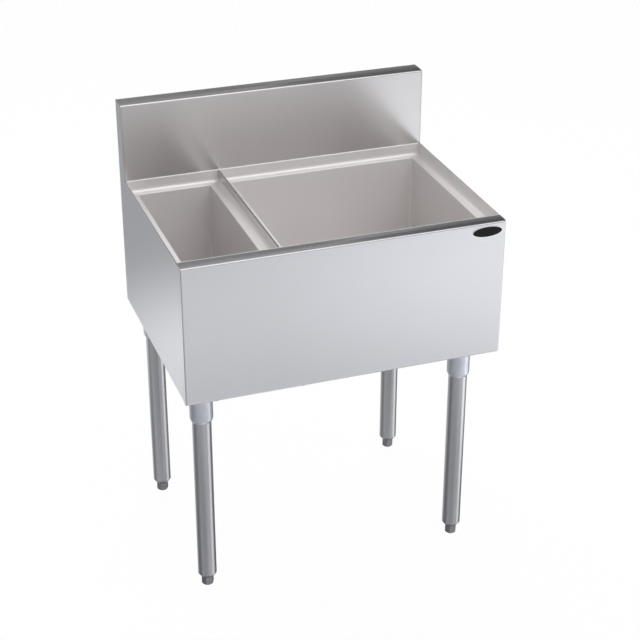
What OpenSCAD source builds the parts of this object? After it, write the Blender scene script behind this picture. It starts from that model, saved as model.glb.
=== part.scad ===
// Underbar ice bin: an insulated two-compartment stainless bin with a backsplash,
// carried on four tubular legs with levelling feet.
// The origin is on the floor under the middle of the body. +X is to the right of someone
// who stands in front of it, +Y runs to the back and +Z is up. All sizes are millimetres.

/* [Body] */
// Overall width
body_w = 644; // [600:1:900]
// Overall depth, apron face to back
body_d = 470; // [430:1:620]
// Height of the rim above the floor
rim_h = 762; // [700:1:900]
// Height of the apron, from its lower edge to the rim
apron_h = 285; // [270:1:340]
// Rise of the backsplash above the rim
splash_rise = 161; // [80:1:250]
// Depth of the backsplash box, front to back
splash_depth = 44; // [36:1:80]
// Depth of the flat band on top of the apron
band_depth = 31; // [26:1:45]

/* [Sheet metal] */
// Thickness of the outer sheets
sheet = 1.2; // [0.9:0.1:1.6]
// Outer radius of the bends
bend_r = 3; // [2:0.5:4]
// Width of the apron's strip that is folded round each side
side_return = 14; // [10:1:20]
// Width of the flanges folded in along the bottom
bottom_return = 12; // [8:1:14]
// Width of the side panels' flanges across the back
back_flange = 20; // [16:1:26]
// Drop of the flange behind the apron's top band
band_drop = 14; // [8:1:18]
// Height of the doubled edge along the side panels' rims
hem_h = 12; // [8:1:18]
// Drop of the backsplash's flange behind the body
splash_drop = 30; // [24:1:60]
// Height of the backsplash's flange behind the liners' upstands
joggle_h = 20; // [12:1:22]
// Visible seam between two sheets that butt
seam = 0.4; // [0.2:0.1:0.8]

/* [Bins] */
// Thickness of the liners
liner_sheet = 1; // [0.8:0.1:1.2]
// Width of the left bin's opening
left_bin_w = 150; // [140:1:240]
// Drop from the rim to the recessed ledge
recess = 25; // [22:1:32]
// Width of the ledge beside each opening
ledge_side = 20.5; // [14:0.5:28]
// Width of the ledge in front of the openings
ledge_front = 15; // [13:0.5:24]
// Width of the ledge behind the openings
ledge_back = 14.5; // [13:0.5:24]
// Width of the flat strip between the two openings
strip_w = 46; // [36:1:60]
// Thickness of the insulation board under the bins
under_board_t = 14.8; // [13:0.1:40]
// Radius of the bins' upright corners
bin_corner_r = 3; // [2:0.5:20]
// Radius between the bins' walls and floor
floor_cove_r = 12; // [6:1:18]
// Radius between the ledge and the upstand around it
ledge_cove_r = 8; // [3:0.5:9]
// Radius of the rolled edge where the ledge turns down into a bin
lip_r = 2; // [1:0.5:2.5]
// Radius on the front of the back upstand's upper edge
upstand_edge_r = 0.9; // [0.2:0.1:1]
// Thickness of the divider cap
cap_sheet = 0.8; // [0.6:0.1:1]

/* [Drains] */
// Radius of the threaded tail that stands out below the body
tail_r = 16.7; // [14:0.1:17]
// Radius of the drain's neck above the tail
neck_r = 17.5; // [17.5:0.1:19]
// Radius of the drain's bore
drain_bore_r = 13; // [8:0.5:13]
// Radius of the drain's flange
drain_flange_r = 32; // [30:1:36]
// Thickness of the drain's flange
drain_flange_t = 2.4; // [2:0.1:2.8]
// Depth of the dished seat around each drain
sump_depth = 3; // [2.6:0.1:4]
// Radius of the strainer plate
strainer_r = 25; // [22:1:26]
// Length of the tail
tail_h = 22; // [15:1:40]
// Gap between the left drain's locknut and the leg channel beside it
drain_side_gap = 4; // [1:0.5:8]
// Width across the flats of the drain locknut
locknut_af = 42; // [40:1:46]
// Thickness of the drain locknut
locknut_t = 8; // [6:1:9]
// Thickness of the drain gasket
gasket_t = 3; // [2:0.5:4]

/* [Legs] */
// Radius of the leg tube
leg_r = 19.05; // [17:0.05:21]
// Wall of the leg tube
leg_wall = 1.6; // [1.2:0.1:2.5]
// Distance from the apron's face to the front legs' axes
leg_inset_front = 79; // [60:1:110]
// Distance from the back of the body to the rear sockets' flanges
leg_setback = 0.3; // [0:0.1:40]
// Width of the channel over the legs
channel_w = 73; // [70:1:80]
// Thickness of the channel over the legs
channel_t = 2; // [1.5:0.5:2.5]
// Gap between a leg channel and the side panel's bottom flange
channel_side_gap = 1; // [0.5:0.5:8]
// Radius of the socket sleeve
socket_r = 23.1; // [21.5:0.1:25]
// Height of the socket, lower end to mounting face
socket_h = 83; // [70:1:100]
// Length of the leg held in the socket
socket_grip = 75; // [50:1:76]
// Height of the tapered leg end below the tube
taper_h = 9; // [6:1:14]
// Radius of the lower end of the tapered leg end
taper_r = 13.2; // [12.8:0.1:16]
// Length of the leg end's spigot inside the tube
spigot_h = 34; // [20:1:60]

/* [Feet] */
// Height of the hexagonal foot
foot_h = 20; // [16:1:30]
// Width across the flats of the foot
foot_af = 22; // [19:1:22]
// Radius of the foot's stem
stem_r = 5.9; // [4:0.1:7]
// Length of the foot's stem
stem_h = 58; // [40:1:70]

/* [Badge] */
// Width of the oval badge
badge_w = 64; // [30:1:90]
// Height of the oval badge
badge_h = 24; // [14:1:40]
// Distance from the right side of the body to the badge's middle
badge_inset = 39; // [36:1:300]
// Distance from the rim down to the badge's middle
badge_drop = 17.2; // [16:0.1:60]
// Thickness of the badge
badge_t = 0.8; // [0.5:0.1:2]

/* [Fasteners] */
// Radius of the socket bolts
bolt_r = 3; // [2.5:0.5:3]
// Width across the flats of the bolt heads and nuts
bolt_af = 10; // [8:0.5:10]
// Height of the bolt heads
bolt_head_h = 4; // [3:0.5:5]
// Thickness of the nuts
nut_t = 5; // [3:0.5:6]
// Radius of the rivet shanks
rivet_r = 1.6; // [1.2:0.1:2]
// Radius of the bottom pan's screws
screw_r = 1.8; // [1.5:0.1:2.4]
// Radius of the socket set screws
set_screw_r = 4; // [3:0.5:5]
// Width across the flats of the set screw heads
set_screw_af = 13; // [10:1:14]

/* [Clearances] */
// Gap between boards, pans and the pieces that they lie against
board_gap = 0.2; // [0.1:0.1:0.5]
// Radial clearance of bolts, screws and rivets in their holes
hole_clear = 0.3; // [0.1:0.1:0.5]
// Radial clearance of a leg in its socket
leg_clear = 0.1; // [0.05:0.05:0.4]
// Radial clearance of a foot's stem in its leg end
stem_clear = 0.08; // [0.04:0.01:0.1]
// Gap between a foot that is screwed home and its leg end
foot_gap = 0.3; // [0.1:0.1:0.6]

/* [Hidden] */
$fn = 96;

STEEL = "#c4c6ca";
BIN_STEEL = "#b3afab";
ZINC = "#a4a7b0";
TUBE_STEEL = "#a0a2a5";
FOAM = "#e6dcb4";
BRASS = "#b08d4a";
BLACK = "#17181a";
RUBBER = "#2b2b2d";

// Overlap that keeps cuts clear of the faces they pass through
cut = 1;

// Planes of the body
half_w = body_w / 2;
front_y = -body_d / 2;
back_y = body_d / 2;
band_y = front_y + band_depth;
splash_y = back_y - splash_depth;
base_z = rim_h - apron_h;
top_z = rim_h + splash_rise;
side_front_y = front_y + side_return + seam;

// The recess around the openings, inside the liners' upstands
rim_t = 2 * sheet + liner_sheet;
recess_x = half_w - rim_t;
recess_front_y = band_y + liner_sheet;
recess_back_y = splash_y;
ledge_z = rim_h - recess;
upstand_z = rim_h - seam;

// The openings and the ridge between them
open_x0 = -recess_x + ledge_side;
open_x1 = recess_x - ledge_side;
open_y0 = recess_front_y + ledge_front;
open_y1 = recess_back_y - ledge_back;
ridge_x = open_x0 + left_bin_w + strip_w / 2;
left_open_x1 = ridge_x - strip_w / 2;
right_open_x0 = ridge_x + strip_w / 2;
ridge_gap = 0.2;
ridge_upstand_z = rim_h - cap_sheet - board_gap;
cap_half_w = ridge_gap / 2 + liner_sheet + cap_sheet;
cap_r = 1.4;
cap_edge_gap = 1;
cap_z = ledge_z + ledge_cove_r + cap_edge_gap;

// The bottom pan, the channels on it and the boards above them
pan_z = base_z - sheet;
pan_edge = 3;
pan_lip_h = 12;
channel_h = 14;
channel_end_gap = 1;
leg_x = half_w - bottom_return - channel_side_gap - channel_w / 2;
channel_in_x = leg_x - channel_w / 2;
board_z = base_z + channel_h + board_gap;
board_top_z = ledge_z - liner_sheet - board_gap;
liner_under_z = board_z + under_board_t;
floor_z = liner_under_z + liner_sheet;
board_back_gap = 10;
board_back_y = back_y - board_back_gap;

// The back panel lies behind the side panels' flanges
panel_y = back_y - sheet;
panel_half_w = half_w - bend_r - board_gap;
panel_drop = 8;
panel_top_z = top_z - panel_drop;

// The drains
drain_y = (open_y0 + open_y1) / 2;
left_drain_x = -channel_in_x + drain_side_gap + locknut_af / sqrt(3);
right_drain_x = (right_open_x0 + open_x1) / 2;
sump_margin = 4;
sump_r = drain_flange_r + sump_margin;
sump_z = floor_z - sump_depth;
sump_under_z = sump_z - liner_sheet;
gasket_z = sump_under_z - gasket_t;
locknut_z = gasket_z - locknut_t;
tail_z = pan_z - tail_h;
pocket_margin = 5;
drain_pocket_r = sump_r + liner_sheet + pocket_margin;
strainer_t = 1.2;
strainer_seat = 1.4;

// The legs
socket_flange_t = 4;
socket_flange_half_w = 38;
socket_flange_lip = 0.1;
socket_flange_out = socket_r + socket_flange_lip;
socket_flange_in = 57;
socket_flange_r = 6;
leg_front_y = front_y + leg_inset_front;
leg_back_y = back_y - leg_setback - socket_flange_out;
socket_z = pan_z - socket_h;
flange_z = pan_z - socket_flange_t;
socket_chamfer_h = 6;
socket_mouth_cut = 2.6;
leg_top_z = socket_z + socket_grip;
leg_z = foot_h + taper_h;
taper_land = 1;
foot_chamfer = 1;

// Ribs between the sleeve and the flange
socket_rib_t = 4;
socket_rib_h = 44;
socket_rib_end = 2;
socket_rib_y = 9;

// The flange's bolts clear the sleeve and the sides of the channel above
bolt_corner_r = bolt_af / sqrt(3);
socket_bolt_x = channel_w / 2 - channel_t - bolt_corner_r - board_gap;
socket_bolt_out = sqrt(max(0, pow(socket_r + bolt_corner_r + board_gap, 2) - pow(socket_bolt_x, 2)));
socket_bolt_in = 48;
bolt_offsets = [[-socket_bolt_x, -socket_bolt_out], [socket_bolt_x, -socket_bolt_out],
                [-socket_bolt_x, socket_bolt_in], [socket_bolt_x, socket_bolt_in]];
bolt_points = [for (side = [-1, 1], p = bolt_offsets, rear = [0, 1])
    [side * leg_x + p[0], rear ? leg_back_y - p[1] : leg_front_y + p[1]]];
bolt_end = 1.5;
set_screw_boss = 3;
set_screw_face = socket_r + set_screw_boss;
set_screw_rise = 22;
set_screw_z = socket_z + set_screw_rise;
set_screw_head_h = 5;

// Rows of screws and rivets. A row runs along the middle of its flange.
function spread(count, reach) = [for (i = [0 : count - 1]) reach * (2 * i / (count - 1) - 1)];
front_screw_margin = 61;
side_screw_margin = 94;
screw_front_y = front_y + (bend_r + bottom_return) / 2;
front_screw_x = spread(4, half_w - front_screw_margin);
side_screw_x = half_w - (bend_r + bottom_return) / 2;
side_screw_y = spread(3, back_y - side_screw_margin);
screw_points = concat([for (x = front_screw_x) [x, screw_front_y]],
                      [for (side = [-1, 1], y = side_screw_y) [side * side_screw_x, y]]);
screw_head_h = 2.4;
screw_end = 5;
row_margin = 100;
row_x = spread(4, half_w - row_margin);
rivet_x = half_w - (bend_r + back_flange) / 2;
rivet_count = 5;
rivet_margin = 16;
rivet_low_z = base_z + pan_lip_h + rivet_margin;
rivet_high_z = panel_top_z - rivet_margin;
rivet_z = [for (i = [0 : rivet_count - 1])
    rivet_low_z + i * (rivet_high_z - rivet_low_z) / (rivet_count - 1)];
splash_rivet_z = (top_z - splash_drop + panel_top_z) / 2;
pan_rivet_z = base_z + pan_lip_h / 2;
rivet_tail_h = 1.6;

strainer_hole_r = 2.2;
strainer_rows = 3;
strainer_pitch = 7;
oval_points = 72;
badge_rim_w = 1.6;
badge_rim_t = 0.3;
thread_clear = 0.05;

// Removes the outside of a rounded corner of a flat outline. The outline lies on the sx, sy
// side of the corner.
module corner_waste(x, y, sx, sy, r) {
    translate([x, y]) mirror([sx < 0 ? 1 : 0, 0]) mirror([0, sy < 0 ? 1 : 0]) difference() {
        translate([-cut, -cut]) square(r + cut);
        translate([r, r]) circle(r);
    }
}

// Rectangle with a radius for each corner: lower left, lower right, upper right, upper left
module rounded_rect(x0, x1, y0, y1, r) {
    difference() {
        translate([x0, y0]) square([x1 - x0, y1 - y0]);
        if (r[0] > 0) corner_waste(x0, y0, 1, 1, r[0]);
        if (r[1] > 0) corner_waste(x1, y0, -1, 1, r[1]);
        if (r[2] > 0) corner_waste(x1, y1, -1, -1, r[2]);
        if (r[3] > 0) corner_waste(x0, y1, 1, -1, r[3]);
    }
}

// A profile in Y and Z, run along X
module x_prism(x0, x1) {
    translate([x0, 0, 0]) rotate([90, 0, 90]) linear_extrude(x1 - x0) children();
}

// A profile in X and Z, run along Y
module y_prism(y0, y1) {
    translate([0, y1, 0]) rotate([90, 0, 0]) linear_extrude(y1 - y0) children();
}

// A profile in X and Y, run along Z
module z_prism(z0, z1) {
    translate([0, 0, z0]) linear_extrude(z1 - z0) children();
}

// A box between two opposite corners
module block(low, high) {
    translate(low) cube(high - low);
}

module post(r, z0, z1) {
    translate([0, 0, z0]) cylinder(h = z1 - z0, r = r);
}

module ring(r_out, r_in, z0, z1) {
    difference() {
        post(r_out, z0, z1);
        post(r_in, z0 - cut, z1 + cut);
    }
}

module hex_prism(af, z0, z1) {
    translate([0, 0, z0]) cylinder(h = z1 - z0, r = af / sqrt(3), $fn = 6);
}

// Apron: face, top band with a short flange behind it, side strips and bottom flange
module apron_block(inset) {
    r = bend_r - inset;
    intersection() {
        x_prism(-half_w + inset, half_w - inset)
            rounded_rect(front_y + inset, band_y - inset, base_z + inset, rim_h - inset, [r, 0, r, r]);
        z_prism(base_z + inset, rim_h - inset)
            rounded_rect(-half_w + inset, half_w - inset, front_y + inset, band_y - inset, [r, r, 0, 0]);
    }
}

module apron() {
    open_x = half_w - sheet - board_gap;
    color(STEEL) difference() {
        apron_block(0);
        apron_block(sheet);
        // open behind, below the band's flange
        block([-open_x, front_y + bottom_return, base_z - cut],
              [open_x, band_y + cut, rim_h - band_drop]);
        // the side strips end short, and the band runs on above them
        for (turn = [0, 1]) mirror([turn, 0, 0])
            block([open_x, front_y + side_return, base_z - cut],
                  [half_w + cut, band_y + cut, rim_h - sheet]);
        for (x = front_screw_x) translate([x, screw_front_y, 0])
            post(screw_r + hole_clear, base_z - cut, base_z + sheet + cut);
    }
}

// Side panel: an upright sheet, stepped up at the back, with a doubled edge along the rim
module side_outline() {
    under_band = rim_h - sheet - seam;
    translate([side_front_y, base_z]) square([back_y - side_front_y, under_band - base_z]);
    translate([band_y + seam, base_z]) square([back_y - band_y - seam, apron_h - sheet]);
    rounded_rect(splash_y, back_y, base_z, top_z - sheet - seam, [0, 0, bend_r, bend_r]);
}

module side_block(inset) {
    r = bend_r - inset;
    reach = inset > 0 ? cut : 0;
    x0 = -half_w + inset;
    x1 = -half_w + back_flange + reach;
    y0 = side_front_y - reach;
    y1 = back_y - inset;
    intersection() {
        z_prism(base_z + inset, top_z + reach) rounded_rect(x0, x1, y0, y1, [0, 0, 0, r]);
        y_prism(y0, y1) rounded_rect(x0, x1, base_z + inset, top_z + reach, [r, 0, 0, 0]);
    }
}

module left_side() {
    difference() {
        union() {
            intersection() {
                difference() {
                    side_block(0);
                    side_block(sheet);
                }
                x_prism(-half_w - cut, half_w) side_outline();
            }
            y_prism(band_y + seam, splash_y)
                rounded_rect(-half_w, -half_w + 2 * sheet, rim_h - hem_h, rim_h, [0, 0, sheet, sheet]);
        }
        block([-half_w + bottom_return, side_front_y - cut, base_z - cut],
              [-half_w + back_flange + cut, panel_y, base_z + sheet]);
        // the bottom flange stops at the back panel
        block([-half_w + bend_r, panel_y - sheet, base_z - cut],
              [-half_w + back_flange + cut, panel_y, base_z + sheet]);
        for (z = rivet_z) rivet_hole([-rivet_x, back_y, z]);
        for (y = side_screw_y) translate([-side_screw_x, y, 0])
            post(screw_r + hole_clear, base_z - cut, base_z + sheet + cut);
    }
}

module left_side_panel() {
    color(STEEL) left_side();
}

module right_side_panel() {
    color(STEEL) mirror([1, 0, 0]) left_side();
}

// Backsplash: face, top and back flange, with a set-back flange behind the liners' upstands
module splash_block(inset) {
    r = bend_r - inset;
    reach = inset > 0 ? cut : 0;
    x_prism(-half_w - reach, half_w + reach)
        rounded_rect(splash_y + inset, back_y - inset, rim_h - reach, top_z - inset, [0, 0, r, r]);
}

module backsplash() {
    inner_x = half_w - sheet - seam;
    flange_x = half_w - back_flange - seam;
    joggle_y = splash_y + liner_sheet;
    color(STEEL) difference() {
        union() {
            difference() {
                splash_block(0);
                splash_block(sheet);
                block([-half_w - cut, panel_y - cut, rim_h - cut],
                      [half_w + cut, back_y + cut, top_z - splash_drop]);
                for (turn = [0, 1]) mirror([turn, 0, 0]) {
                    block([inner_x, splash_y - cut, rim_h - cut],
                          [half_w + cut, back_y + cut, top_z - sheet]);
                    block([flange_x, panel_y - board_gap, rim_h - cut],
                          [half_w + cut, back_y + cut, top_z - sheet]);
                }
            }
            block([-inner_x, splash_y, rim_h], [inner_x, joggle_y + sheet, rim_h + sheet]);
            block([-inner_x, joggle_y, rim_h - joggle_h], [inner_x, joggle_y + sheet, rim_h + sheet]);
        }
        for (x = row_x) rivet_hole([x, back_y, splash_rivet_z]);
    }
}

// Back panel, inside the flanges of the side panels and the backsplash
module back_panel() {
    color(STEEL) difference() {
        block([-panel_half_w, panel_y - sheet, base_z], [panel_half_w, panel_y, panel_top_z]);
        for (side = [-1, 1], z = rivet_z) rivet_hole([side * rivet_x, back_y, z]);
        for (x = row_x) {
            rivet_hole([x, back_y, splash_rivet_z]);
            rivet_hole([x, panel_y, pan_rivet_z]);
        }
    }
}

// Bottom pan with a lip up inside the back panel
module bottom_pan() {
    lip_x = half_w - bottom_return - seam;
    lip_y = panel_y - sheet;
    color(STEEL) difference() {
        union() {
            block([-half_w + pan_edge, front_y + pan_edge, pan_z], [half_w - pan_edge, lip_y, base_z]);
            block([-lip_x, lip_y - sheet, pan_z], [lip_x, lip_y, base_z + pan_lip_h]);
        }
        for (x = [left_drain_x, right_drain_x]) translate([x, drain_y, 0])
            post(neck_r + hole_clear, pan_z - cut, base_z + cut);
        for (p = screw_points) translate([p[0], p[1], 0])
            post(screw_r + hole_clear, pan_z - cut, base_z + cut);
        for (p = bolt_points) translate([p[0], p[1], 0])
            post(bolt_r + hole_clear, pan_z - cut, base_z + cut);
        for (x = row_x) rivet_hole([x, panel_y, pan_rivet_z]);
    }
}

// Open-topped prism with rounded upright corners and a rounded floor edge
module tub(low, high, corner_r, cove_r) {
    intersection() {
        z_prism(low[2], high[2])
            rounded_rect(low[0], high[0], low[1], high[1], [corner_r, corner_r, corner_r, corner_r]);
        x_prism(low[0], high[0])
            rounded_rect(low[1], high[1], low[2], high[2], [cove_r, cove_r, 0, 0]);
        y_prism(low[1], high[1])
            rounded_rect(low[0], high[0], low[2], high[2], [cove_r, cove_r, 0, 0]);
    }
}

// The outside of a liner, or with wall = 0 the space inside it. x holds the recess's sides
// and mouth the opening's sides.
module liner_form(x, mouth, wall, reach) {
    tub([x[0] - wall, recess_front_y - wall, ledge_z - wall],
        [x[1] + wall, recess_back_y + wall, upstand_z + reach], 0, ledge_cove_r + wall);
    tub([mouth[0] - wall, open_y0 - wall, floor_z - wall],
        [mouth[1] + wall, open_y1 + wall, ledge_z + reach], bin_corner_r + wall, floor_cove_r + wall);
}

// The waste outside the rolled edge of an opening
module lip_waste(mouth) {
    r = bin_corner_r;
    corners = [[mouth[0] + r, open_y0 + r, 180], [mouth[1] - r, open_y0 + r, 270],
               [mouth[1] - r, open_y1 - r, 0], [mouth[0] + r, open_y1 - r, 90]];
    y_prism(open_y0 + r, open_y1 - r) {
        corner_waste(mouth[0], ledge_z, -1, -1, lip_r);
        corner_waste(mouth[1], ledge_z, 1, -1, lip_r);
    }
    x_prism(mouth[0] + r, mouth[1] - r) {
        corner_waste(open_y0, ledge_z, -1, -1, lip_r);
        corner_waste(open_y1, ledge_z, 1, -1, lip_r);
    }
    for (c = corners) translate([c[0], c[1], 0]) rotate([0, 0, c[2]])
        rotate_extrude(angle = 90) corner_waste(r, ledge_z, 1, -1, lip_r);
}

module bin_liner(x, mouth, drain_x) {
    difference() {
        union() {
            liner_form(x, mouth, liner_sheet, 0);
            translate([drain_x, drain_y, sump_under_z])
                cylinder(h = sump_depth + liner_sheet, r1 = sump_r - sump_depth + liner_sheet,
                         r2 = sump_r + 2 * liner_sheet);
        }
        liner_form(x, mouth, 0, cut);
        lip_waste(mouth);
        x_prism(x[0] - cut, x[1] + cut)
            corner_waste(recess_back_y, upstand_z, 1, -1, min(upstand_edge_r, liner_sheet));
        translate([drain_x, drain_y, sump_z])
            cylinder(h = sump_depth, r1 = sump_r - sump_depth, r2 = sump_r);
        translate([drain_x, drain_y, 0]) {
            post(sump_r, floor_z, floor_z + cut);
            post(neck_r + hole_clear, sump_under_z - cut, floor_z);
        }
    }
}

module left_bin_liner() {
    x1 = ridge_x - ridge_gap / 2 - liner_sheet;
    color(BIN_STEEL) difference() {
        bin_liner([-recess_x, x1], [open_x0, left_open_x1], left_drain_x);
        block([x1 - cut, recess_front_y, ridge_upstand_z],
              [ridge_x, recess_back_y, rim_h]);
    }
}

module right_bin_liner() {
    x0 = ridge_x + ridge_gap / 2 + liner_sheet;
    color(BIN_STEEL) difference() {
        bin_liner([x0, recess_x], [right_open_x0, open_x1], right_drain_x);
        block([ridge_x, recess_front_y, ridge_upstand_z],
              [x0 + cut, recess_back_y, rim_h]);
    }
}

// Divider cap: a thin channel over the two upstands between the bins
module divider_cap() {
    inner_x = cap_half_w - cap_sheet;
    color(STEEL) y_prism(recess_front_y + board_gap, recess_back_y - board_gap) difference() {
        rounded_rect(ridge_x - cap_half_w, ridge_x + cap_half_w, cap_z, rim_h, [0, 0, cap_r, cap_r]);
        translate([ridge_x - inner_x, cap_z - cut])
            square([2 * inner_x, rim_h - cap_sheet - cap_z + cut]);
    }
}

// Oval badge with a raised rim and a bare face
function oval(w, h) = [for (i = [0 : oval_points - 1])
    [w / 2 * cos(360 * i / oval_points), h / 2 * sin(360 * i / oval_points)]];

module badge() {
    middle = [half_w - badge_inset, rim_h - badge_drop];
    face_t = badge_t - badge_rim_t;
    color(BLACK) {
        y_prism(front_y - face_t, front_y) translate(middle) polygon(oval(badge_w, badge_h));
        y_prism(front_y - badge_t, front_y) translate(middle) difference() {
            polygon(oval(badge_w, badge_h));
            polygon(oval(badge_w - 2 * badge_rim_w, badge_h - 2 * badge_rim_w));
        }
    }
}

// Insulation boards around the liners
module front_insulation() {
    color(FOAM) block([open_x0 - liner_sheet, front_y + sheet, board_z],
                      [open_x1 + liner_sheet, open_y0 - liner_sheet, board_top_z]);
}

module back_insulation() {
    color(FOAM) block([open_x0 - liner_sheet, open_y1 + liner_sheet, board_z],
                      [open_x1 + liner_sheet, board_back_y, board_top_z]);
}

module left_insulation() {
    color(FOAM) block([-half_w + sheet, front_y + bend_r, board_z],
                      [open_x0 - liner_sheet, board_back_y, board_top_z]);
}

module right_insulation() {
    color(FOAM) block([open_x1 + liner_sheet, front_y + bend_r, board_z],
                      [half_w - sheet, board_back_y, board_top_z]);
}

module divider_insulation() {
    color(FOAM) block([left_open_x1 + liner_sheet, open_y0 - liner_sheet, liner_under_z],
                      [right_open_x0 - liner_sheet, open_y1 + liner_sheet, board_top_z]);
}

module bottom_insulation() {
    low_x = channel_in_x - board_gap;
    color(FOAM) difference() {
        union() {
            block([open_x0 - liner_sheet, open_y0 - liner_sheet, board_z],
                  [open_x1 + liner_sheet, open_y1 + liner_sheet, liner_under_z]);
            block([-low_x, open_y0, base_z], [low_x, open_y1, board_z]);
        }
        for (x = [left_drain_x, right_drain_x]) translate([x, drain_y, 0])
            post(drain_pocket_r, base_z - cut, liner_under_z + cut);
    }
}

// Channels on the pan over the legs, open upwards
module leg_channel(side) {
    x0 = side * leg_x - channel_w / 2;
    x1 = side * leg_x + channel_w / 2;
    color(STEEL) difference() {
        y_prism(front_y + bottom_return + channel_end_gap, panel_y - 2 * sheet - channel_end_gap)
            difference() {
                rounded_rect(x0, x1, base_z, base_z + channel_h, [channel_t, channel_t, 0, 0]);
                translate([x0 + channel_t, base_z + channel_t])
                    square([channel_w - 2 * channel_t, channel_h]);
            }
        for (p = bolt_points) translate([p[0], p[1], 0])
            post(bolt_r + hole_clear, base_z - cut, base_z + channel_t + cut);
    }
}

// Places a part of the leg at the front or rear, left or right. Each is drawn at a front
// leg's axis, and faces the other way at the rear.
module at_leg(side, rear) {
    translate([side * leg_x, rear ? leg_back_y : leg_front_y, 0]) rotate([0, 0, rear ? 180 : 0])
        children();
}

// Leg socket: a flange under the pan, a sleeve with a chamfered mouth, ribs and a screw boss
module socket_rib(reach) {
    low_z = flange_z - socket_rib_end;
    linear_extrude(socket_rib_t)
        polygon([[0, flange_z + cut], [reach, flange_z + cut], [reach, low_z],
                 [leg_r, flange_z - socket_rib_h], [0, flange_z - socket_rib_h]]);
}

module leg_socket(side, rear) {
    corner = socket_flange_r;
    color(ZINC) at_leg(side, rear) difference() {
        union() {
            z_prism(flange_z, pan_z)
                rounded_rect(-socket_flange_half_w, socket_flange_half_w, -socket_flange_out,
                             socket_flange_in, [corner, corner, corner, corner]);
            post(socket_r, socket_z + socket_chamfer_h, flange_z + cut);
            translate([0, 0, socket_z])
                cylinder(h = socket_chamfer_h, r1 = socket_r - socket_mouth_cut, r2 = socket_r);
            translate([-socket_rib_t / 2, 0, 0]) rotate([90, 0, 90])
                socket_rib(socket_flange_in - socket_flange_r);
            for (turn = [0, 1]) mirror([turn, 0, 0])
                translate([0, socket_rib_y + socket_rib_t, 0]) rotate([90, 0, 0])
                    socket_rib(socket_flange_half_w - socket_rib_end);
            y_prism(0, set_screw_face)
                translate([0, set_screw_z]) circle(set_screw_r + set_screw_boss);
        }
        post(leg_r + leg_clear, socket_z - cut, leg_top_z);
        for (p = bolt_offsets) translate([p[0], p[1], 0])
            post(bolt_r + hole_clear, flange_z - cut, pan_z + cut);
        y_prism(0, set_screw_face + cut)
            translate([0, set_screw_z]) circle(set_screw_r + thread_clear);
    }
}

// Leg tube
module leg(side, rear) {
    color(TUBE_STEEL) at_leg(side, rear) ring(leg_r, leg_r - leg_wall, leg_z, leg_top_z);
}

// Tapered leg end with a threaded bore for the foot
module leg_end(side, rear) {
    bore = stem_r + stem_clear;
    spigot_r = leg_r - leg_wall - thread_clear;
    color(TUBE_STEEL) at_leg(side, rear) rotate_extrude()
        polygon([[bore, foot_h], [taper_r, foot_h], [leg_r, leg_z - taper_land], [leg_r, leg_z],
                 [spigot_r, leg_z], [spigot_r, leg_z + spigot_h], [bore, leg_z + spigot_h]]);
}

// Hexagonal foot with chamfered ends and a stem that screws into the leg end
module foot(side, rear) {
    top = foot_h - foot_gap;
    low_r = foot_af / 2 - foot_chamfer;
    color(TUBE_STEEL) at_leg(side, rear) {
        intersection() {
            hex_prism(foot_af, 0, top);
            cylinder(h = top, r1 = low_r, r2 = low_r + top);
            cylinder(h = top, r1 = foot_af / 2 + top, r2 = foot_af / 2);
        }
        post(stem_r, top - cut, foot_h + stem_h);
    }
}

// Bolts up through the socket flanges, the pan and the channels, and the nuts above them
module socket_bolts() {
    color(ZINC) for (p = bolt_points) translate([p[0], p[1], 0]) {
        hex_prism(bolt_af, flange_z - bolt_head_h, flange_z);
        post(bolt_r, flange_z - cut, base_z + channel_t + nut_t + bolt_end);
    }
}

module socket_nuts() {
    color(ZINC) for (p = bolt_points) translate([p[0], p[1], 0]) difference() {
        hex_prism(bolt_af, base_z + channel_t, base_z + channel_t + nut_t);
        post(bolt_r + thread_clear, base_z, base_z + channel_t + nut_t + cut);
    }
}

module socket_set_screws() {
    color(ZINC) for (side = [-1, 1], rear = [false, true]) at_leg(side, rear) {
        y_prism(leg_r, set_screw_face + cut) translate([0, set_screw_z]) circle(set_screw_r);
        translate([0, set_screw_face, set_screw_z]) rotate([-90, 0, 0])
            hex_prism(set_screw_af, 0, set_screw_head_h);
    }
}

// Screws up through the pan into the apron's and the side panels' bottom flanges
module bottom_screws() {
    color(ZINC) for (p = screw_points) translate([p[0], p[1], 0]) {
        translate([0, 0, pan_z - screw_head_h])
            cylinder(h = screw_head_h, r1 = 1.5 * screw_r, r2 = 2 * screw_r);
        post(screw_r, pan_z - screw_head_h, base_z + sheet + screw_end);
    }
}

// Flush rivets. Each point is the middle of the rivet's head, on the outer sheet's face.
module rivet_hole(p) {
    translate(p) rotate([90, 0, 0]) {
        translate([0, 0, -cut]) cylinder(h = cut, r = 2 * rivet_r + hole_clear);
        cylinder(h = sheet, r1 = 2 * rivet_r + hole_clear, r2 = rivet_r + hole_clear);
        cylinder(h = 2 * sheet + cut, r = rivet_r + hole_clear);
    }
}

module rivet(p) {
    translate(p) rotate([90, 0, 0]) {
        cylinder(h = sheet, r1 = 2 * rivet_r, r2 = rivet_r);
        cylinder(h = 2 * sheet + rivet_tail_h, r = rivet_r);
        translate([0, 0, 2 * sheet]) cylinder(h = rivet_tail_h, r = 1.5 * rivet_r);
    }
}

module back_rivets() {
    color(ZINC) {
        for (side = [-1, 1], z = rivet_z) rivet([side * rivet_x, back_y, z]);
        for (x = row_x) {
            rivet([x, back_y, splash_rivet_z]);
            rivet([x, panel_y, pan_rivet_z]);
        }
    }
}

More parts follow.
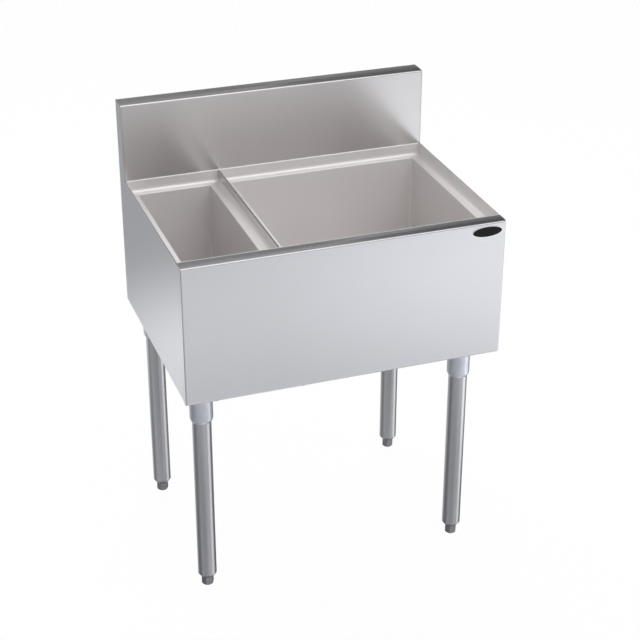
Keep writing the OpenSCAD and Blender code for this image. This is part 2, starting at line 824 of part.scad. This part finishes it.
// Drains: body with a seat for the strainer, strainer plate, gasket and locknut
module drain_body(x) {
    top = sump_z + drain_flange_t;
    seat_z = top - strainer_seat;
    seat_r = strainer_r + hole_clear;
    color(ZINC) translate([x, drain_y, 0]) rotate_extrude()
        polygon([[drain_bore_r, tail_z], [tail_r, tail_z], [tail_r, pan_z], [neck_r, pan_z],
                 [neck_r, sump_z], [drain_flange_r, sump_z], [drain_flange_r, top],
                 [seat_r, top], [seat_r, seat_z], [drain_bore_r + 1, seat_z], [drain_bore_r, seat_z - 1]]);
}

module strainer(x) {
    z = sump_z + drain_flange_t - strainer_seat;
    color(STEEL) translate([x, drain_y, 0]) difference() {
        post(strainer_r, z, z + strainer_t);
        post(strainer_hole_r, z - cut, z + strainer_t + cut);
        for (row = [1 : strainer_rows], i = [0 : 6 * row - 1])
            rotate([0, 0, 60 * i / row]) translate([row * strainer_pitch, 0, 0])
                post(strainer_hole_r, z - cut, z + strainer_t + cut);
    }
}

module drain_gasket(x) {
    color(RUBBER) translate([x, drain_y, 0])
        ring(sump_r - sump_depth, neck_r + hole_clear, gasket_z, sump_under_z);
}

module drain_nut(x) {
    color(BRASS) translate([x, drain_y, 0]) difference() {
        hex_prism(locknut_af, locknut_z, gasket_z);
        post(neck_r + thread_clear, locknut_z - cut, gasket_z + cut);
    }
}

apron();
left_side_panel();
right_side_panel();
backsplash();
back_panel();
bottom_pan();
left_bin_liner();
right_bin_liner();
divider_cap();
badge();
front_insulation();
back_insulation();
left_insulation();
right_insulation();
divider_insulation();
bottom_insulation();
leg_channel(-1);  // left_leg_channel
leg_channel(1);  // right_leg_channel
leg_socket(-1, false);  // front_left_socket
leg_socket(1, false);  // front_right_socket
leg_socket(-1, true);  // rear_left_socket
leg_socket(1, true);  // rear_right_socket
leg(-1, false);  // front_left_leg
leg(1, false);  // front_right_leg
leg(-1, true);  // rear_left_leg
leg(1, true);  // rear_right_leg
leg_end(-1, false);  // front_left_leg_end
leg_end(1, false);  // front_right_leg_end
leg_end(-1, true);  // rear_left_leg_end
leg_end(1, true);  // rear_right_leg_end
foot(-1, false);  // front_left_foot
foot(1, false);  // front_right_foot
foot(-1, true);  // rear_left_foot
foot(1, true);  // rear_right_foot
socket_bolts();
socket_nuts();
socket_set_screws();
bottom_screws();
back_rivets();
drain_body(left_drain_x);  // left_drain_body
drain_body(right_drain_x);  // right_drain_body
strainer(left_drain_x);  // left_strainer
strainer(right_drain_x);  // right_strainer
drain_gasket(left_drain_x);  // left_drain_gasket
drain_gasket(right_drain_x);  // right_drain_gasket
drain_nut(left_drain_x);  // left_drain_nut
drain_nut(right_drain_x);  // right_drain_nut
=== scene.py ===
"""Looks of an underbar ice bin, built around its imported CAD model.

Everything is in metres in the CAD model's frame: X to the right, Y to the back, Z up, the
floor at z = 0. Each CAD node keeps its mesh and gets a procedural finish. The one new piece
is the bead between the bin liners and the splash.
"""

import math

import bpy
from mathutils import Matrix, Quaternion, Vector


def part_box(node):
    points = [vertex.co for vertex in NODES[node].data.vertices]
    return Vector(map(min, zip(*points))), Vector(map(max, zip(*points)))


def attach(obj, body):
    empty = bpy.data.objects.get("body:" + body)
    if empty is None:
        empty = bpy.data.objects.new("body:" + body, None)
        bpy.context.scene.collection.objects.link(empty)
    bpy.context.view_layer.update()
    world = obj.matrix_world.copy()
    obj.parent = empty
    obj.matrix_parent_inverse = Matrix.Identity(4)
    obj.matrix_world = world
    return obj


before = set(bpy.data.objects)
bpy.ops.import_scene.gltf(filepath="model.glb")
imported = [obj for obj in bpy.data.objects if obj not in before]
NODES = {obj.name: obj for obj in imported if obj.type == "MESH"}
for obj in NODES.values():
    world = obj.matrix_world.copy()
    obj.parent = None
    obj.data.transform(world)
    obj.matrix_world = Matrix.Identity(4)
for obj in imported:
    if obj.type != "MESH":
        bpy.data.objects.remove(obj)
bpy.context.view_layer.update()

MM = 0.001
CORNERS = ["front_left", "front_right", "rear_left", "rear_right"]
SIDES = ["left", "right"]


# Colours, shader nodes and new objects

def grey(level):
    return (level, level, level, 1.0)


def tinted(level, tint):
    """A grey of this level, with its red and blue scaled by the two numbers of the tint."""
    red, blue = tint
    return (level * red, level, level * blue, 1.0)


class Tree:
    """Adds shader nodes to a tree and links them. An input given as a socket is linked."""

    NOISE_SPREAD = (0.3, 0.7)

    def __init__(self, tree):
        self.tree = tree
        tree.nodes.clear()

    def add(self, kind, inputs=None, **settings):
        made = self.tree.nodes.new(kind)
        for name, value in settings.items():
            setattr(made, name, value)
        for name, value in (inputs or {}).items():
            self.feed(made.inputs[name], value)
        return made

    def feed(self, socket, value):
        if isinstance(value, bpy.types.NodeSocket):
            self.tree.links.new(value, socket)
        else:
            socket.default_value = value

    def place(self):
        """The place on the object, in metres."""
        return self.add("ShaderNodeTexCoord").outputs["Object"]

    def math(self, operation, a, b):
        return self.add("ShaderNodeMath", {0: a, 1: b}, operation=operation).outputs[0]

    def vector(self, operation, a, b):
        made = self.add("ShaderNodeVectorMath", {0: a, 1: b}, operation=operation)
        return made.outputs["Vector"]

    def measure(self, operation, a, b):
        """The distance or the dot product of two vectors."""
        made = self.add("ShaderNodeVectorMath", {0: a, 1: b}, operation=operation)
        return made.outputs["Value"]

    def remap(self, value, low, high, to_low, to_high, curve="SMOOTHSTEP"):
        made = self.add(
            "ShaderNodeMapRange",
            {"Value": value, "From Min": low, "From Max": high,
             "To Min": to_low, "To Max": to_high},
            interpolation_type=curve,
        )
        return made.outputs["Result"]

    def spread(self, noise, to_low, to_high):
        """Spreads the middle of a noise's range over the two levels."""
        return self.remap(noise, *self.NOISE_SPREAD, to_low, to_high, curve="LINEAR")

    def fade(self, value, stops):
        """A smooth curve through stops, pairs of a value in rising order and its level."""
        first = stops[0][0]
        last = stops[-1][0]
        ramp = self.add("ShaderNodeValToRGB")
        ramp.color_ramp.interpolation = "EASE"
        points = ramp.color_ramp.elements
        while len(points) < len(stops):
            points.new(1.0)
        for point, (place, level) in zip(points, stops):
            point.position = (place - first) / (last - first)
            point.color = grey(level)
        self.feed(ramp.inputs[0], self.remap(value, first, last, 0.0, 1.0, curve="LINEAR"))
        return ramp.outputs[0]

    def mix(self, factor, a, b, blend="MIX"):
        """A mix of two colours, which are the node's inputs 6 and 7 and its output 2."""
        made = self.add(
            "ShaderNodeMix", {0: factor, 6: a, 7: b}, data_type="RGBA", blend_type=blend)
        return made.outputs[2]

    def shade(self, level, tint=(1.0, 1.0)):
        """A colour from a level socket, with its red and blue scaled by the tint."""
        red, blue = tint
        return self.add("ShaderNodeCombineColor", {
            "Red": self.math("MULTIPLY", level, red), "Green": level,
            "Blue": self.math("MULTIPLY", level, blue)}).outputs[0]

    def noise(self, vector, scale, detail, roughness=0.5):
        made = self.add("ShaderNodeTexNoise", {
            "Vector": vector, "Scale": scale, "Detail": detail, "Roughness": roughness})
        return made.outputs["Fac"]

    def surface(self, height, strength, depth, inputs):
        """The shader of a solid surface, with a bump from a height socket."""
        bump = self.add("ShaderNodeBump", {
            "Strength": strength, "Distance": depth, "Height": height})
        return self.add("ShaderNodeBsdfPrincipled", {"Normal": bump.outputs[0], **inputs})

    def mix_shaders(self, factor, a, b):
        return self.add("ShaderNodeMixShader", {0: factor, 1: a.outputs[0], 2: b.outputs[0]})

    def finish(self, shader):
        self.add("ShaderNodeOutputMaterial", {"Surface": shader.outputs[0]})


def new_material(name):
    made = bpy.data.materials.new(name)
    made.use_nodes = True
    return made, Tree(made.node_tree)


def add_object(name, data):
    made = bpy.data.objects.new(name, data)
    bpy.context.scene.collection.objects.link(made)
    return made


# Finishes

# The grain of brushed steel, in cells of noise per metre along it and across it
ALONG = 8.0
ACROSS = 2200.0
GRAIN_X = (ALONG, ACROSS, ACROSS)
GRAIN_Y = (ACROSS, ALONG, ACROSS)
GRAIN_Z = (ACROSS, ACROSS, ALONG)
GRAIN_DEPTH = 0.02 * MM
QUARTER_TURN = 0.25

# Soft clouds in the steel: how strong, and cells of noise per metre
CLOUDS = 0.04
CLOUD_SCALE = 6.0

# Specks in cast, turned and plated metal, and how far they sway its tone and roughness
SPECK_SCALE = 60.0
SPECK_DEPTH = 0.03 * MM
PLATING_DEPTH = 0.01 * MM
SPECK_TONES = (0.93, 1.05)
SPECK_SWAY = 0.05
PLASTIC_TONES = (0.9, 1.08)

# The badge: its rim, where the rim starts against the oval inside it, and its two finishes
BADGE_RIM = 1.6 * MM
RIM_EDGE = (0.99, 1.01)
RIM_LEVEL = 0.8
RIM_ROUGHNESS = 0.3
ENAMEL_LEVEL = 0.003
ENAMEL_ROUGHNESS = 0.14
ENAMEL_SCALE = 900.0
ENAMEL_DEPTH = 0.005 * MM

# Red and blue against green
SHEET_TINT = (1.0, 1.03)
LINER_TINT = (1.03, 0.99)
SPLASH_TINT = (1.025, 1.0)
ENAMEL_TINT = (1.0, 1.1)


def brushed(name, level, tint, roughness, anisotropy, grain, streak, metallic=1.0):
    """Stainless sheet with a directional grain. grain stretches the noise along the grain,
    and streak is how far it sways the tone and the roughness."""
    made, t = new_material(name)
    place = t.place()
    grained = t.add("ShaderNodeMapping", {"Vector": place, "Scale": grain}).outputs[0]
    fine = t.noise(grained, 1.0, 4.0, roughness=0.6)
    cloud = t.noise(place, CLOUD_SCALE, 2.0)
    tone = t.math("ADD", t.math("MULTIPLY", fine, streak), t.math("MULTIPLY", cloud, CLOUDS))
    tone = t.math("ADD", tone, 1.0 - 0.5 * (streak + CLOUDS))
    shader = t.surface(fine, strength=0.03, depth=GRAIN_DEPTH, inputs={
        "Base Color": t.mix(1.0, tinted(level, tint), t.shade(tone), "MULTIPLY"),
        "Metallic": metallic,
        "Roughness": t.spread(fine, roughness - streak, roughness + streak),
        "Anisotropic": anisotropy,
        "Anisotropic Rotation": QUARTER_TURN,
    })
    if anisotropy:
        tangent = t.add("ShaderNodeTangent", direction_type="RADIAL", axis="Z")
        t.feed(shader.inputs["Tangent"], tangent.outputs[0])
    t.finish(shader)
    return made


def simple_metal(name, colour, roughness, depth=SPECK_DEPTH):
    """A plain cast, turned or plated metal with a fine uneven surface."""
    made, t = new_material(name)
    place = t.place()
    fine = t.noise(place, SPECK_SCALE * 10, 3.0)
    tone = t.spread(t.noise(place, SPECK_SCALE, 2.0), *SPECK_TONES)
    t.finish(t.surface(fine, strength=0.3, depth=depth, inputs={
        "Base Color": t.mix(1.0, colour, t.shade(tone), "MULTIPLY"),
        "Metallic": 1.0,
        "Roughness": t.spread(fine, roughness - SPECK_SWAY, roughness + SPECK_SWAY),
    }))
    return made


def plastic(name, colour, roughness, grain_scale, depth):
    """Rubber or foam, with a grain of this scale and depth."""
    made, t = new_material(name)
    fine = t.noise(t.place(), grain_scale, 3.0)
    tone = t.spread(fine, *PLASTIC_TONES)
    t.finish(t.surface(fine, strength=0.4, depth=depth, inputs={
        "Base Color": t.mix(1.0, colour, t.shade(tone), "MULTIPLY"),
        "Roughness": roughness,
    }))
    return made


def badge_enamel():
    """Gloss black enamel inside a bright rim, for the oval badge."""
    made, t = new_material("badge_enamel")
    place = t.place()
    low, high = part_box("badge")
    middle = [(a + b) / 2 for a, b in zip(low, high)]
    inner_w = (high[0] - low[0]) / 2 - BADGE_RIM
    inner_h = (high[2] - low[2]) / 2 - BADGE_RIM
    offset = t.vector("SUBTRACT", place, middle)
    oval = t.vector("MULTIPLY", offset, (1 / inner_w, 0.0, 1 / inner_h))
    rim = t.remap(t.measure("DISTANCE", oval, (0, 0, 0)), *RIM_EDGE, 0.0, 1.0)
    fine = t.noise(place, ENAMEL_SCALE, 2.0)
    t.finish(t.surface(fine, strength=0.1, depth=ENAMEL_DEPTH, inputs={
        "Base Color": t.mix(rim, tinted(ENAMEL_LEVEL, ENAMEL_TINT), grey(RIM_LEVEL)),
        "Metallic": rim,
        "Roughness": t.remap(rim, 0.0, 1.0, ENAMEL_ROUGHNESS, RIM_ROUGHNESS),
        "Specular IOR Level": 0.15,
    }))
    return made


def paint(material, *names):
    for name in names:
        mesh = NODES[name].data
        mesh.materials.clear()
        mesh.materials.append(material)


panel_steel = brushed("panel_steel", 0.68, SHEET_TINT, 0.25, 0.6, GRAIN_X, 0.012)
splash_steel = brushed("splash_steel", 0.70, SPLASH_TINT, 0.25, 0.6, GRAIN_X, 0.012)
side_steel = brushed("side_steel", 0.68, SHEET_TINT, 0.25, 0.6, GRAIN_Y, 0.012)
liner_steel = brushed("liner_steel", 0.785, LINER_TINT, 0.36, 0.0, GRAIN_X, 0.02, metallic=0.55)
# The bead's steel is near white and brighter than the liners, a painted highlight along the
# seam.
bead_highlight_steel = brushed("bead_highlight_steel", 0.98, LINER_TINT, 0.4, 0.0, GRAIN_X, 0.012, metallic=0.3)
cap_steel = brushed("cap_steel", 0.55, LINER_TINT, 0.22, 0.3, GRAIN_Y, 0.012)
mill_steel = brushed("mill_steel", 0.52, SHEET_TINT, 0.42, 0.0, GRAIN_X, 0.03)
tube_steel = brushed("tube_steel", 0.55, SHEET_TINT, 0.22, 0.8, GRAIN_Z, 0.02)
foot_steel = brushed("foot_steel", 0.36, SHEET_TINT, 0.42, 0.0, GRAIN_Z, 0.03)
cast_metal = simple_metal("cast_metal", (0.675, 0.69, 0.75, 1), 0.42)
fastener_steel = simple_metal("fastener_steel", grey(0.55), 0.3)
drain_chrome = simple_metal("drain_chrome", grey(0.78), 0.12, depth=PLATING_DEPTH)
brass = simple_metal("brass", (0.62, 0.45, 0.2, 1), 0.3)
rubber = plastic("rubber", grey(0.03), 0.6, grain_scale=900.0, depth=0.05 * MM)
foam = plastic("foam", (0.8, 0.74, 0.52, 1), 0.9, grain_scale=300.0, depth=0.4 * MM)

paint(panel_steel, "apron")
paint(splash_steel, "backsplash")
paint(cap_steel, "divider_cap")
paint(badge_enamel(), "badge")
paint(mill_steel, "back_panel", "bottom_pan")
paint(foam, "front_insulation", "back_insulation", "divider_insulation", "bottom_insulation")
paint(fastener_steel, "socket_bolts", "socket_nuts", "socket_set_screws", "bottom_screws",
      "back_rivets")
for corner in CORNERS:
    paint(tube_steel, corner + "_leg")
    paint(foot_steel, corner + "_leg_end", corner + "_foot")
    paint(cast_metal, corner + "_socket")
for side in SIDES:
    paint(side_steel, side + "_side_panel")
    paint(liner_steel, side + "_bin_liner")
    paint(mill_steel, side + "_leg_channel")
    paint(foam, side + "_insulation")
    paint(drain_chrome, side + "_drain_body", side + "_strainer")
    paint(rubber, side + "_drain_gasket")
    paint(brass, side + "_drain_nut")


# The bead along the joint between the liners and the splash, which carries a painted highlight

# The share of the full section that is left at the bead's two ends
BEAD_END = 0.3
BEAD_H = 2.6 * MM
BEAD_PROUD = 1.0 * MM
BEAD_SIDES = 24
LINER_SHEET = 1.0 * MM


def bead_section(x, y, z, size):
    """The points of one oval section, at this share of the full size."""
    points = []
    for step in range(BEAD_SIDES):
        turn = 2 * math.pi * step / BEAD_SIDES
        out = size * BEAD_PROUD * math.cos(turn)
        up = size * BEAD_H / 2 * math.sin(turn)
        points.append((x, y - out, z + up))
    return points


def joint_bead():
    """A thin bead of oval section along the top of the liners' back upstands. Its round shape
    catches light, and its near-white steel adds a painted highlight along the seam.
    """
    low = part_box("left_bin_liner")[0]
    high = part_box("right_bin_liner")[1]
    x0 = low[0] + LINER_SHEET
    x1 = high[0] - LINER_SHEET
    sections = [(x0, BEAD_END), (x0 + BEAD_H, 1.0), (x1 - BEAD_H, 1.0), (x1, BEAD_END)]
    points = []
    for x, size in sections:
        points += bead_section(x, high[1] - LINER_SHEET, high[2], size)
    faces = [tuple(range(BEAD_SIDES))]
    for ring in range(len(sections) - 1):
        for step in range(BEAD_SIDES):
            a = ring * BEAD_SIDES + step
            b = ring * BEAD_SIDES + (step + 1) % BEAD_SIDES
            faces.append((b, a, a + BEAD_SIDES, b + BEAD_SIDES))
    faces.append(tuple(reversed(range(len(points) - BEAD_SIDES, len(points)))))
    mesh = bpy.data.meshes.new("joint_bead")
    mesh.from_pydata(points, [], faces)
    mesh.shade_smooth()
    mesh.materials.append(bead_highlight_steel)
    bead = add_object("joint_bead", mesh)
    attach(bead, "root")


joint_bead()


# The camera, fitted to the photograph's edges

# Its azimuth is to the right of +Y, and its elevation is how far it looks down, in degrees
CAMERA_PLACE = (-0.9472, -2.7340, 2.0202)
CAMERA_AZIMUTH = 19.63
CAMERA_ELEVATION = 27.93
CAMERA_ROLL = 0.095
CAMERA_REACH = 50
FOCAL_PIXELS = 1594.1
PICTURE_PIXELS = 640
SENSOR_MM = 36


def aim(thing, toward):
    """Turns a camera or a lamp to look along a direction."""
    thing.rotation_mode = "QUATERNION"
    thing.rotation_quaternion = toward.to_track_quat("-Z", "Y")


def make_camera():
    data = bpy.data.cameras.new("camera")
    data.sensor_width = SENSOR_MM
    data.lens = SENSOR_MM * FOCAL_PIXELS / PICTURE_PIXELS
    data.clip_end = CAMERA_REACH
    camera = add_object("camera", data)
    camera.location = CAMERA_PLACE
    a = math.radians(CAMERA_AZIMUTH)
    e = math.radians(CAMERA_ELEVATION)
    aim(camera, Vector((math.sin(a) * math.cos(e), math.cos(a) * math.cos(e), -math.sin(e))))
    camera.rotation_quaternion @= Quaternion((0, 0, 1), math.radians(CAMERA_ROLL))
    bpy.context.scene.camera = camera


# The studio: a white world for the camera, and pale and dark parts for the steel to mirror

WORLD_LEVEL = 0.03
WORLD_TINT = (1.0, 1.01)
HORIZON_LEVEL = 0.42
HORIZON_ANGLES = (4, 16)
GLOWS = [
    # azimuth, elevation, inner and outer angle, level
    (66, 28, 3, 22, 1.60),
    (78, 27, 4, 32, 0.35),
    (30, 60, 2, 26, 1.45),
    (-70, 20, 4, 30, 0.18),
    (-20, 30, 20, 85, 0.38),
    (-173, 28, 2, 34, 0.32),
    (-150, 28, 4, 30, 0.30),
    (170, 56, 4, 26, 1.10),
    (0, 90, 8, 38, 0.60),
]

# The floor: its matt grey, how clear the camera finds it, and what the steel sees in it,
# which is a dim shine, a painted fade of light from front to back that is low near the object
# as a painted shadow of it, and round pools of painted light
FLOOR_SIZE = 16
FLOOR_GREY = 0.8
FLOOR_CLEAR = 0.97
FLOOR_SHINE = 0.75
FLOOR_ROUGHNESS = 0.3
FLOOR_TINT = (0.985, 1.02)
# Painted light on the floor, seen only in the steel, low near the object as its painted shadow
FLOOR_FADE = [
    # place from the front, -Y, to the back, and level
    (-3.6, 0.34),
    (-2.2, 0.25),
    (-1.5, 0.56),
    (-1.0, 0.22),
    (-0.4, 0.03),
    (0.3, 0.19),
    (1.3, 0.0),
]
FLOOR_POOLS = [
    # place, inner and outer radius, level
    ((-0.86, 0.86), 0.05, 0.66, 0.60),
    ((1.3, -1.5), 0.1, 1.35, 0.51),
    ((0.95, -0.3), 0.05, 0.5, 0.60),
    ((1.2, 2.6), 0.3, 2.0, 0.60),
    ((-2.6, 1.9), 0.1, 1.1, 0.60),
]

LAMPS = [
    # place, side and power
    ((0.4, -2.6, 2.3), 1.6, 30),
    ((-0.1, 1.5, 2.9), 2.4, 66),
]
LAMP_AIM = (0, 0, 0.7)


def direction(azimuth, elevation):
    """A unit vector. Azimuth 0 is toward the front, -Y, and 90 is toward the right, +X."""
    a = math.radians(azimuth)
    e = math.radians(elevation)
    return (math.sin(a) * math.cos(e), -math.cos(a) * math.cos(e), math.sin(e))


def glow(t, toward, azimuth, elevation, inner, outer, level):
    """A soft patch of light in the world: level within inner degrees, fading out at outer."""
    facing = t.measure("DOT_PRODUCT", toward, direction(azimuth, elevation))
    low = math.cos(math.radians(outer))
    high = math.cos(math.radians(inner))
    return t.remap(facing, low, high, 0.0, level)


def make_world():
    world = bpy.data.worlds.new("studio")
    world.use_nodes = True
    world.cycles.sampling_method = "NONE"
    bpy.context.scene.world = world
    t = Tree(world.node_tree)
    toward = t.add("ShaderNodeTexCoord").outputs["Generated"]
    level = WORLD_LEVEL
    for patch in GLOWS:
        level = t.math("ADD", glow(t, toward, *patch), level)
    height = t.add("ShaderNodeSeparateXYZ", {"Vector": toward}).outputs["Z"]
    near, far = [math.sin(math.radians(angle)) for angle in HORIZON_ANGLES]
    level = t.math("ADD", t.remap(height, near, far, HORIZON_LEVEL, 0.0), level)
    by_camera = t.add("ShaderNodeLightPath").outputs["Is Camera Ray"]
    seen = t.mix(by_camera, t.shade(level, WORLD_TINT), grey(1.0))
    background = t.add("ShaderNodeBackground", {"Color": seen, "Strength": 1.0})
    t.add("ShaderNodeOutputWorld", {"Surface": background.outputs[0]})


def make_floor():
    """A pale floor. The camera sees the white world through it, the object's shadow on it,
    and a foot that is screwed out below it."""
    bpy.ops.mesh.primitive_plane_add(size=FLOOR_SIZE)
    floor = bpy.context.object
    floor.name = "floor"
    made, t = new_material("floor")
    made.cycles.emission_sampling = "NONE"
    place = t.place()
    depth = t.add("ShaderNodeSeparateXYZ", {"Vector": place}).outputs["Y"]
    # Painted light and a painted shadow of the object, which only the steel sees
    level = t.fade(depth, FLOOR_FADE)
    for (x, y), inner, outer, peak in FLOOR_POOLS:
        distance = t.measure("DISTANCE", place, (x, y, 0))
        level = t.math("ADD", t.remap(distance, inner, outer, peak, 0.0), level)
    rays = t.add("ShaderNodeLightPath").outputs
    matt = t.add("ShaderNodeBsdfDiffuse", {"Color": grey(FLOOR_GREY)})
    lit = t.add("ShaderNodeEmission", {"Color": tinted(1.0, FLOOR_TINT), "Strength": level})
    shine = t.add("ShaderNodeBsdfAnisotropic", {
        "Color": tinted(FLOOR_SHINE, FLOOR_TINT), "Roughness": FLOOR_ROUGHNESS})
    mirrored = t.add("ShaderNodeAddShader", {0: lit.outputs[0], 1: shine.outputs[0]})
    solid = t.mix_shaders(rays["Is Glossy Ray"], matt, mirrored)
    clear = t.add("ShaderNodeBsdfTransparent", {"Color": grey(1.0)})
    see_through = t.math("MULTIPLY", rays["Is Camera Ray"], FLOOR_CLEAR)
    t.finish(t.mix_shaders(see_through, solid, clear))
    floor.data.materials.append(made)


def make_lamp(place, side, power):
    """A square lamp that lights what is matt. The steel mirrors the world and the floor."""
    data = bpy.data.lights.new("lamp", "AREA")
    data.size = side
    data.energy = power
    lamp = add_object("lamp", data)
    lamp.location = place
    lamp.visible_glossy = False
    aim(lamp, Vector(LAMP_AIM) - Vector(place))


make_camera()
make_world()
make_floor()
for lamp in LAMPS:
    make_lamp(*lamp)
bpy.context.scene.view_settings.view_transform = "Standard"
